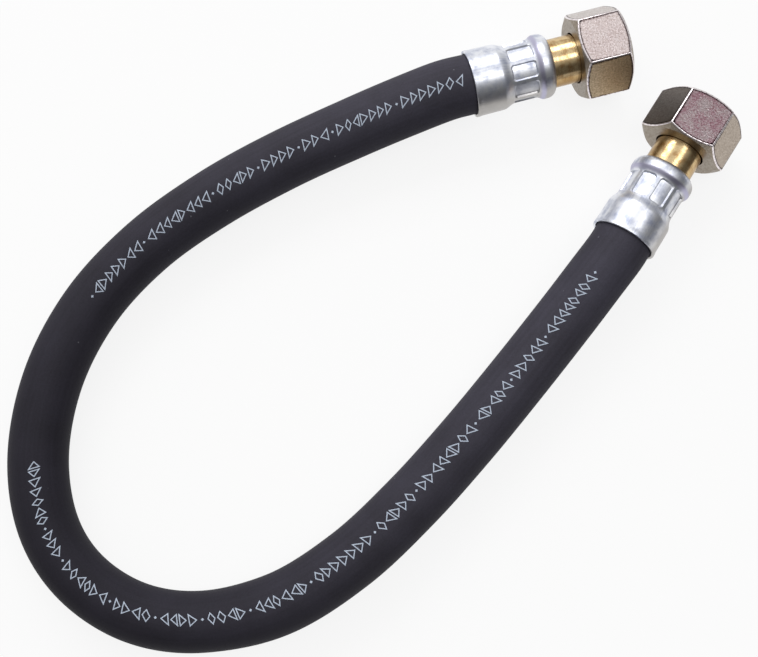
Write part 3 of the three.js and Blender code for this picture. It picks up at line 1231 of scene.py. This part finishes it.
@dataclass
class BrassStem(TurnedPiece):
    """Turned stem: barbed tail in the hose, locking groove, neck and the collar inside the nut."""

    label: ClassVar[str] = "brass_stem"
    crease: ClassVar[float] = 35
    neck: float = 9.1
    bore: float = 4.5
    flare: float = 0.8
    groove: float = 7.8
    tail_start: float = 2.5
    tail_wall: float = 0.6
    tail_lead: float = 1.5
    tail_root: float = 5.7
    tail_crest: float = 6.2
    barbs: int = 4
    barb_back: float = 0.4
    groove_start: float = 26.1
    groove_end: float = 29.1
    collar_back: float = 44.1
    collar_front: float = 46.6
    collar: float = 11
    facets: int = 160

    def section(self) -> HalfSection:
        """The stem from its tail to its collar, with its barbs and groove."""
        section = HalfSection()
        section.to(self.bore, self.tail_start, 0.15).to(self.bore + self.tail_wall, self.tail_start, 0.2)
        barbs_start = self.tail_start + self.tail_lead
        pitch = (self.groove_start - barbs_start) / (self.barbs + 1)
        section.to(self.tail_root, barbs_start)
        for barb in range(1, self.barbs + 1):
            section.to(self.tail_crest, barbs_start + barb * pitch - self.barb_back, 0.08)
            section.to(self.tail_root, barbs_start + barb * pitch)
        section.to(self.tail_root, self.groove_start).to(self.groove, self.groove_start)
        section.to(self.groove, self.groove_end).to(self.neck, self.groove_end, 0.15)
        section.to(self.neck, self.collar_back, 0.3)
        section.to(self.collar, self.collar_back, 0.35).to(self.collar, self.collar_front, 0.35)
        section.to(self.bore + self.flare, self.collar_front, 0.12)
        return section.to(self.bore, self.collar_front - self.flare, 0.2)


@dataclass(frozen=True)
class NutPlateAndReflectionTints:
    """The plate's tint on a nut: on its six flats, from the top one round to the right, and elsewhere; the
    top, right and left tints are painted reflection and shade.
    """

    top: Colour
    right: Colour
    left: Colour
    plain: Colour = srgb(166, 157, 144)

    @property
    def flats(self) -> tuple[Colour, ...]:
        """The tint of each flat in that order."""
        return (self.top, self.right, *[self.plain] * 3, self.left)


# Painted reflection and shade: the top, right and left flats are coloured lighter, warmer or darker than the
# plate, as light and reflections fall on them.
PINKISH_REFLECTION_TINTS = NutPlateAndReflectionTints(top=srgb(238, 228, 229), right=srgb(232, 212, 178), left=srgb(224, 218, 216))
MAUVE_REFLECTION_TINTS = NutPlateAndReflectionTints(top=srgb(176, 164, 168), right=srgb(190, 178, 164), left=srgb(126, 119, 114))


@dataclass
class UnionNut(TurnedPiece):
    """Hexagon union nut: a turned and chamfered blank with six milled flats and a cut thread."""

    label: ClassVar[str] = "hex_nut"
    crease: ClassVar[float] = 20
    plate_and_reflection_tints: NutPlateAndReflectionTints
    across_flats: float = 30
    back: float = 40.8
    length: float = 18.6
    back_wall: float = 3
    back_hole: float = 9.6
    back_hole_bevel: float = 0.15
    back_face: float = 14.45
    front_face: float = 14.3
    chamfer_degrees: float = 30
    thread_root: float = 12
    thread_crest: float = 11.25
    pitch: float = 1.5
    relief: float = 3
    lead_in: float = 0.9
    lead_width: float = 0.55
    thread_sink: float = 0.1
    thread_foot: float = 0.46
    thread_top: float = 0.07
    thread_steps: int = 72
    edge_break: float = 0.38
    rim_width: float = 0.75
    rim_weld: float = 0.5
    outside_reach: float = 13.5
    upright_limit: float = 0.01
    facets: int = 144

    @property
    def front(self) -> float:
        """Place of the nut's open end."""
        return self.back + self.length

    def section(self) -> HalfSection:
        """The round blank with its bore and both end chamfers."""
        reach = self.across_flats / 2 / math.cos(math.pi / 6) + 1
        slope = math.tan(math.radians(self.chamfer_degrees))
        section = HalfSection()
        section.to(self.back_hole, self.back, self.back_hole_bevel).to(self.back_face, self.back)
        section.to(reach, self.back + (reach - self.back_face) * slope)
        section.to(reach, self.front - (reach - self.front_face) * slope)
        section.to(self.front_face, self.front).to(self.thread_root + self.lead_width, self.front)
        section.to(self.thread_root, self.front - self.lead_in)
        section.to(self.thread_root, self.back + self.back_wall, 0.3)
        return section.to(self.back_hole, self.back + self.back_wall, 0.3)

    def mill(self, piece: bpy.types.Object) -> None:
        """Cuts the six flats off the blank.

        Args:
            piece: The turned blank.
        """
        with editing(piece):
            bpy.ops.mesh.select_all(action="SELECT")
            half_facet = math.pi / self.facets
            bpy.ops.transform.rotate(value=half_facet, orient_axis="Z", center_override=(0, 0, 0))
            for flat in range(6):
                angle = flat * math.pi / 3
                outward = Vector((math.cos(angle), math.sin(angle), 0))
                bpy.ops.mesh.select_all(action="SELECT")
                bpy.ops.mesh.bisect(
                    plane_co=outward * self.across_flats / 2,
                    plane_no=outward,
                    use_fill=True,
                    clear_outer=True,
                )
            tidy_shell()

    def flats(self, mesh: bpy.types.Mesh) -> list[bpy.types.MeshPolygon]:
        """The faces of the six flats, without their broken edges."""
        plated = [face for face in mesh.polygons if not face.material_index]
        outside = [face for face in plated if face.center.xy.length > self.outside_reach]
        return [face for face in outside if abs(face.normal.z) < self.upright_limit]

    def break_edges(self, piece: bpy.types.Object) -> None:
        """Rounds the milled and turned edges slightly, as plating and tumbling leave them.

        Args:
            piece: The milled nut.
        """
        mesh = piece.data
        border = {key for face in self.flats(mesh) for key in face.edge_keys}
        clear_selection(mesh)
        for edge in mesh.edges:
            edge.select = tuple(sorted(edge.vertices)) in border
        mesh.materials.append(None)
        # The broken edges get the bright edge finish, a painted highlight.
        mesh.materials.append(EdgeFinish().material())
        with editing(piece, Pick.EDGES):
            bpy.ops.mesh.bevel(offset=self.edge_break, segments=3, clamp_overlap=False, material=1)

    def paint(self, piece: bpy.types.Object) -> None:
        """Stores the plate's tint on each face, with painted reflection and shade on three flats, and a rim
        that fades inwards from each flat's border, for painted shade there.

        Args:
            piece: The finished nut.
        """
        mesh = piece.data
        clear_selection(mesh)
        for face in self.flats(mesh):
            face.select = True
        with editing(piece, Pick.FACES):
            bpy.ops.mesh.inset(thickness=self.rim_width)
            bpy.ops.mesh.remove_doubles(threshold=self.rim_weld)
        mesh = piece.data
        inner = {point for face in mesh.polygons if face.select for point in face.vertices}
        plate_and_reflection_tints = [self.plate_and_reflection_tints.plain] * len(mesh.loops)
        rims = [0.0] * len(mesh.loops)
        for face in self.flats(mesh):
            turn = round(math.atan2(face.normal.y, face.normal.x) / math.radians(60)) % 6
            for corner in face.loop_indices:
                plate_and_reflection_tints[corner] = self.plate_and_reflection_tints.flats[turn]
                rims[corner] = float(mesh.loops[corner].vertex_index not in inner)
        plate_and_reflection_tint = mesh.attributes.new("plate_and_reflection_tint", "FLOAT_COLOR", "CORNER")
        plate_and_reflection_tint.data.foreach_set("color", [value for colour in plate_and_reflection_tints for value in colour])
        mesh.attributes.new("rim", "FLOAT", "CORNER").data.foreach_set("value", rims)

    def thread(self) -> bpy.types.Object:
        """Cuts the inner thread as one helical ridge that grows out of the bore's wall."""
        start = self.back + self.back_wall + self.relief
        turns = (self.front - self.lead_in - start) / self.pitch
        root, crest = self.thread_root + self.thread_sink, self.thread_crest
        foot, top = self.pitch * self.thread_foot, self.pitch * self.thread_top
        profile = ((root, -foot), (crest, -top), (crest, top), (root, foot))
        ridge = [Vector((radius, 0, start + along)) for radius, along in profile]
        piece = drawn_outline("thread_ridge", ridge)
        apply_modifier(
            piece,
            "SCREW",
            axis="Z",
            angle=math.tau,
            steps=self.thread_steps,
            render_steps=self.thread_steps,
            screw_offset=self.pitch,
            iterations=int(turns),
            use_merge_vertices=False,
        )
        with editing(piece):
            bpy.ops.mesh.select_all(action="SELECT")
            bpy.ops.mesh.remove_doubles(threshold=WELD)
            bpy.ops.mesh.fill_holes(sides=0)
            bpy.ops.mesh.select_all(action="SELECT")
            bpy.ops.mesh.normals_make_consistent(inside=False)
        return piece

    def shape(self, piece: bpy.types.Object) -> None:
        """Mills the blank, breaks its edges, adds the thread and paints the plate's tints, with their
        painted reflection and shade.
        """
        self.mill(piece)
        self.break_edges(piece)
        ridge = self.thread()
        only(piece)
        ridge.select_set(True)
        bpy.ops.object.join()
        self.paint(piece)


@dataclass
class FlatGasket(TurnedPiece):
    """Flat sealing washer on the stem's collar."""

    label: ClassVar[str] = "fibre_washer"
    crease: ClassVar[float] = 35
    outer: float = 10.9
    bore: float = 7.25
    back: float = 46.9
    thickness: float = 2
    facets: int = 144

    def section(self) -> HalfSection:
        """The washer's flat ring."""
        front = self.back + self.thickness
        section = HalfSection()
        section.to(self.bore, self.back, 0.2).to(self.outer, self.back, 0.3)
        return section.to(self.outer, front, 0.3).to(self.bore, front, 0.25)


@dataclass
class HoseFitting:
    """One end of the hose: sleeve, stem, washer and nut at their place."""

    place: FittingPlace
    nut: UnionNut
    ferrule: CrimpFerrule = field(default_factory=CrimpFerrule)
    stem: BrassStem = field(default_factory=BrassStem)
    gasket: FlatGasket = field(default_factory=FlatGasket)

    def set_down(
        self, piece: bpy.types.Object, material: bpy.types.Material, node: str, body: str
    ) -> bpy.types.Object:
        """Puts a piece in its place in the frame, gives it its finish and body, and hides the CAD node that
        it stands for.

        Args:
            piece: The piece in the fitting's axes.
            material: Its finish.
            node: The CAD node that it stands for, without the fitting's letter.
            body: The body that it rides on.

        Returns:
            The same piece.
        """
        only(piece)
        piece.matrix_world = self.place.matrix()
        bpy.ops.object.transform_apply(location=True, rotation=True, scale=True)
        if piece.data.materials:
            piece.data.materials[0] = material
        else:
            piece.data.materials.append(material)
        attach(piece, body)
        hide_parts(f"{node}_{self.place.letter}")
        LOG.info("%s: %d faces", piece.name, len(piece.data.polygons))
        return piece

    def build(self, nickel: NickelFinish) -> list[bpy.types.Object]:
        """Builds the fitting's pieces.

        Args:
            nickel: The finish of this fitting's nut.

        Returns:
            The sleeve, stem, washer and nut.
        """
        letter = self.place.letter
        parts = (
            (self.ferrule, ZincFinish(self.place), "crimp_ferrule", HOSE_BODY, "zinc"),
            (self.stem, BrassFinish(self.place), "stem", HOSE_BODY, "brass"),
            (self.gasket, FibreFinish(), "gasket", HOSE_BODY, "fibre"),
            (self.nut, nickel, "union_nut", f"nut_{letter}", "nickel"),
        )
        return [
            self.set_down(part.build(letter), finish.material(), node, body)
            for part, finish, node, body, slot in parts
        ]


# The studio.


@dataclass(frozen=True)
class SoftLamp:
    """A rectangular soft lamp that faces the middle of the hose, in metres and watts."""

    name: str
    place: tuple[float, float, float]
    size: tuple[float, float]
    watts: float

    def hang(self) -> None:
        """Hangs the lamp in the scene."""
        data = bpy.data.lights.new(self.name, "AREA")
        data.shape = "RECTANGLE"
        data.size, data.size_y = self.size
        data.energy = self.watts
        lamp = bpy.data.objects.new(self.name, data)
        lamp.location = self.place
        lamp.rotation_euler = (-Vector(self.place)).to_track_quat("-Z", "Y").to_euler()
        bpy.context.scene.collection.objects.link(lamp)


@dataclass
class Studio:
    """Camera, soft lamps, pale floor and world."""

    camera_place: tuple[float, float, float] = (-0.8, -70, 428.5)
    camera_tilt: float = 9
    lens: float = 54.62
    sensor: float = 36
    clip: tuple[float, float] = (0.01, 20)
    lamps: tuple[SoftLamp, ...] = (
        SoftLamp("key_softbox", (-0.3, 0.92, 0.87), (1.0, 0.5), 5.5),
        SoftLamp("top_softbox", (0.39, 0.03, 1.2), (0.35, 0.6), 2),
    )
    floor_size: float = 8
    floor_drop: float = 0.0003
    floor_colour: Colour = srgb(212, 212, 213)
    floor_seen_colour: Colour = srgb(252, 252, 252)
    floor_glow_share: float = 0.86
    brightest_way: tuple[float, float, float] = (-0.3, 0.6, 0.74)
    dim_to_bright: tuple[float, float] = (0.05, 0.85)
    wall_level: float = 0.07
    ceiling_level: float = 0.82
    mirrored_share: float = 0.05

    def camera(self) -> None:
        """Sets the camera at the photograph's place, looking down on the hose."""
        data = bpy.data.cameras.new("camera")
        data.lens = self.lens
        data.sensor_width = self.sensor
        data.clip_start, data.clip_end = self.clip
        camera = bpy.data.objects.new("camera", data)
        camera.location = Vector(self.camera_place) * MM
        camera.rotation_euler = (math.radians(self.camera_tilt), 0, 0)
        bpy.context.scene.collection.objects.link(camera)
        bpy.context.scene.camera = camera

    def floor(self) -> None:
        """Lays a large pale floor that shows white and keeps a soft shadow."""
        bpy.ops.object.select_all(action="DESELECT")
        bpy.ops.mesh.primitive_plane_add(size=self.floor_size, location=(0, 0, -self.floor_drop))
        floor = bpy.context.object
        floor.name = "studio_floor"
        material = bpy.data.materials.new("floor_paper")
        material.use_nodes = True
        sheet = NodeSheet(material.node_tree)
        camera, glossy, clear = sheet.rays_seen()
        seen = (camera + glossy + clear).ramp(0, 1)
        colour = sheet.blend(seen, self.floor_colour, self.floor_seen_colour)
        paper = sheet.node("ShaderNodeBsdfDiffuse", inputs={"Color": colour})
        glow = sheet.node("ShaderNodeEmission", inputs={"Strength": 1.0})
        share = seen * self.floor_glow_share
        surface = sheet.node("ShaderNodeMixShader", inputs={0: share, 1: paper, 2: glow})
        sheet.add("ShaderNodeOutputMaterial", inputs={"Surface": surface})
        floor.data.materials.append(material)

    def world(self) -> None:
        """Fills the room with white light, most of it from above and behind, and shows white itself."""
        world = bpy.data.worlds.new("room")
        world.use_nodes = True
        sheet = NodeSheet(world.node_tree)
        way = sheet.node("ShaderNodeTexCoord", output="Generated")
        towards = {0: way, 1: self.brightest_way}
        height = sheet.node("ShaderNodeVectorMath", {"operation": "DOT_PRODUCT"}, towards, "Value")
        bright = height.ramp(*self.dim_to_bright)
        level = self.wall_level + (self.ceiling_level - self.wall_level) * bright
        camera, glossy, clear = sheet.rays_seen()
        seen = (camera + self.mirrored_share * (glossy + clear)).ramp(0, 1)
        light = {"Color": (1, 1, 1, 1), "Strength": level * (1 - seen) + seen}
        surface = sheet.node("ShaderNodeBackground", inputs=light)
        sheet.add("ShaderNodeOutputWorld", inputs={"Surface": surface})
        bpy.context.scene.world = world

    def build(self) -> None:
        """Makes everything but the hose."""
        self.camera()
        for lamp in self.lamps:
            lamp.hang()
        self.floor()
        self.world()
        bpy.context.scene.view_settings.view_transform = "Standard"
        LOG.info("studio: camera, lamps, floor and world")


def main() -> None:
    """Builds the studio, the hose and both fittings, and reports each piece."""
    logging.basicConfig(level=logging.INFO, format="%(name)s: %(message)s")
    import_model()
    Studio().build()

    points = [FITTING_A.at(distance) for distance in STRAIGHT_A]
    points += [Vector(point) for point in LOOP]
    points += [FITTING_B.at(distance) for distance in STRAIGHT_B]
    route = HoseRoute(points)
    hose = RubberHose(route, HELD_INSIDE, route.length - HELD_INSIDE)
    tube = hose.build()
    tube.data.materials.append(RubberFinish().material())
    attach(tube, HOSE_BODY)
    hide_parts("rubber_hose")
    LOG.info("rubber_tube: %d faces, %.0f mm long", len(tube.data.polygons), route.length)

    # The second colour is each nut's stain and painted reflection on its top flat.
    pinkish = NickelFinish("satin_nickel_a", srgb(236, 232, 232))
    mauve = NickelFinish("satin_nickel_b", srgb(226, 190, 204))
    marks = HosePrint(hose).build()
    marks.data.materials.append(InkFinish().material())
    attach(marks, HOSE_BODY)
    LOG.info("hose_marks: %d faces", len(marks.data.polygons))
    end_a = HoseFitting(FITTING_A, UnionNut(PINKISH_REFLECTION_TINTS)).build(pinkish)
    crimped_b = CrimpFerrule(turn=CRIMP_TURN_B)
    end_b = HoseFitting(FITTING_B, UnionNut(MAUVE_REFLECTION_TINTS), crimped_b).build(mauve)
    FITTING_A.at(0) * MM
    hose.outer * MM
    hose.path()
    LOG.info("fittings: %d pieces", len(end_a) + len(end_b))


if __name__ == "__main__":
    main()
